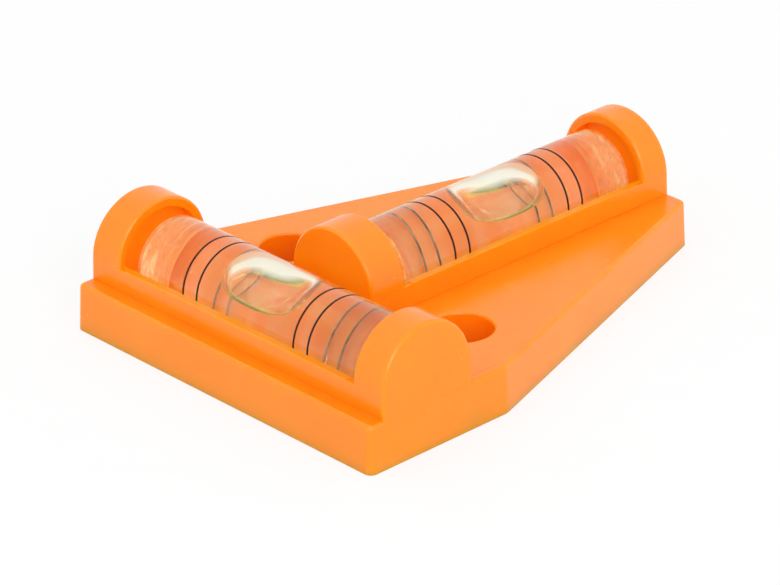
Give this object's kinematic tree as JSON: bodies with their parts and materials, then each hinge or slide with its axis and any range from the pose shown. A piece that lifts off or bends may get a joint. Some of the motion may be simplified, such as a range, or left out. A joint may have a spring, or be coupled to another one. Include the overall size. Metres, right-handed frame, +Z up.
{
  "type": "magnetic level",
  "caption": "Small T-shaped magnetic level: an orange moulded body with bubble vials at right angles, screw holes beside the stem and magnets in its underside.",
  "frame": {"origin": "underside of the body, below the middle of the overall box", "axes": "+X along the stem from the front face to the tail, +Y to the left along the cross vial, +Z up"},
  "size_m": [0.059, 0.0442, 0.0136],
  "materials": {
    "orange_plastic": "satin",
    "clear_acrylic": "clear",
    "milky_plug": "milky",
    "vial_liquid": "clear",
    "air_bubble": "clear",
    "black_print": "printed",
    "clear_adhesive": "clear",
    "nickel_plate": "plated"
  },
  "bodies": {
    "level": {"body": "orange_plastic", "cross_tube": "clear_acrylic", "cross_plug_1": "milky_plug", "cross_plug_2": "milky_plug", "cross_liquid": "vial_liquid", "cross_line_1": "black_print", "cross_line_2": "black_print", "cross_line_3": "black_print", "cross_line_4": "black_print", "cross_adhesive": "clear_adhesive", "stem_tube": "clear_acrylic", "stem_plug_1": "milky_plug", "stem_plug_2": "milky_plug", "stem_liquid": "vial_liquid", "stem_line_1": "black_print", "stem_line_2": "black_print", "stem_line_3": "black_print", "stem_line_4": "black_print", "stem_adhesive": "clear_adhesive", "magnet_front_left": "nickel_plate", "magnet_front_right": "nickel_plate", "magnet_rear_left": "nickel_plate", "magnet_rear_right": "nickel_plate"},
    "cross_air": {"cross_bubble": "air_bubble"},
    "stem_air": {"stem_bubble": "air_bubble"}
  },
  "joints": [
    {"name": "cross_bubble_slide", "type": "slide", "parent": "level", "child": "cross_air", "axis": [0, 1, 0], "range_m": [-0.0084, 0.0068], "stiffness_N_per_m": 0.003, "springref_m": -0.0008, "deforming": ["cross_liquid"]},
    {"name": "stem_bubble_slide", "type": "slide", "parent": "level", "child": "stem_air", "axis": [1, 0, 0], "range_m": [-0.0084, 0.0068], "stiffness_N_per_m": 0.003, "springref_m": -0.0008, "deforming": ["stem_liquid"]}
  ]
}
